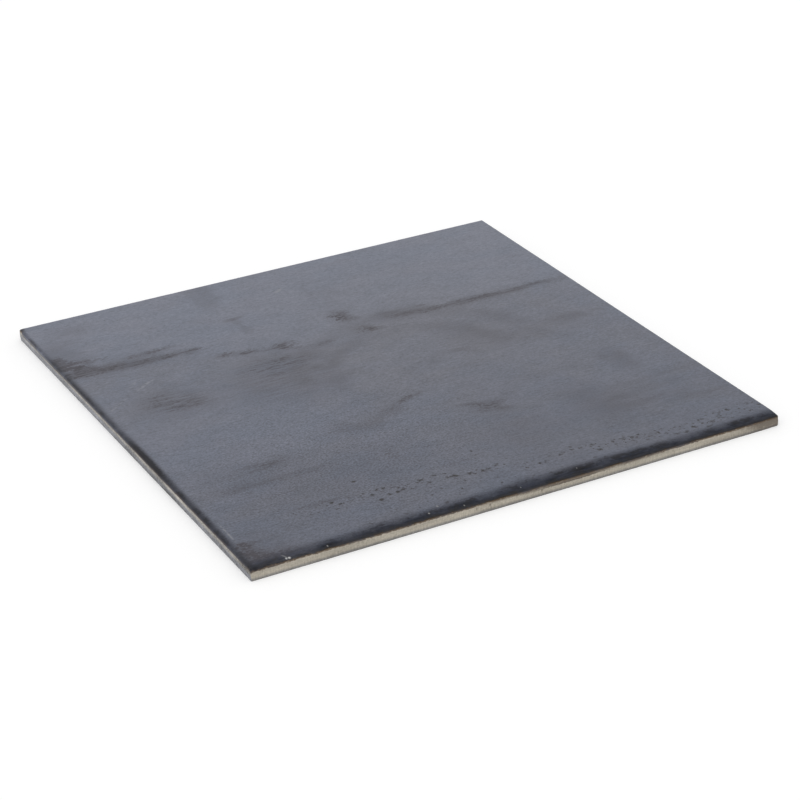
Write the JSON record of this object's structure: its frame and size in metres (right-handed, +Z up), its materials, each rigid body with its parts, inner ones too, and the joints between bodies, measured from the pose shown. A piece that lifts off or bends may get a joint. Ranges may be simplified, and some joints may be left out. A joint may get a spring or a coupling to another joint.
{
  "type": "steel plate",
  "caption": "Flat square blank of hot-rolled steel plate with shear-cut edges, raw stock to be welded, drilled or formed.",
  "frame": {"origin": "middle of the plate on its underside, where it rests on the floor", "axes": "+Z up through the thickness, +X along the rolling direction, the front cut at -Y"},
  "size_m": [0.2, 0.2, 0.0045],
  "materials": {
    "mill_scale_steel": "hot-rolled mill scale with bare sheared edges"
  },
  "bodies": {
    "root": {"plate": "mill_scale_steel"}
  },
  "joints": []
}
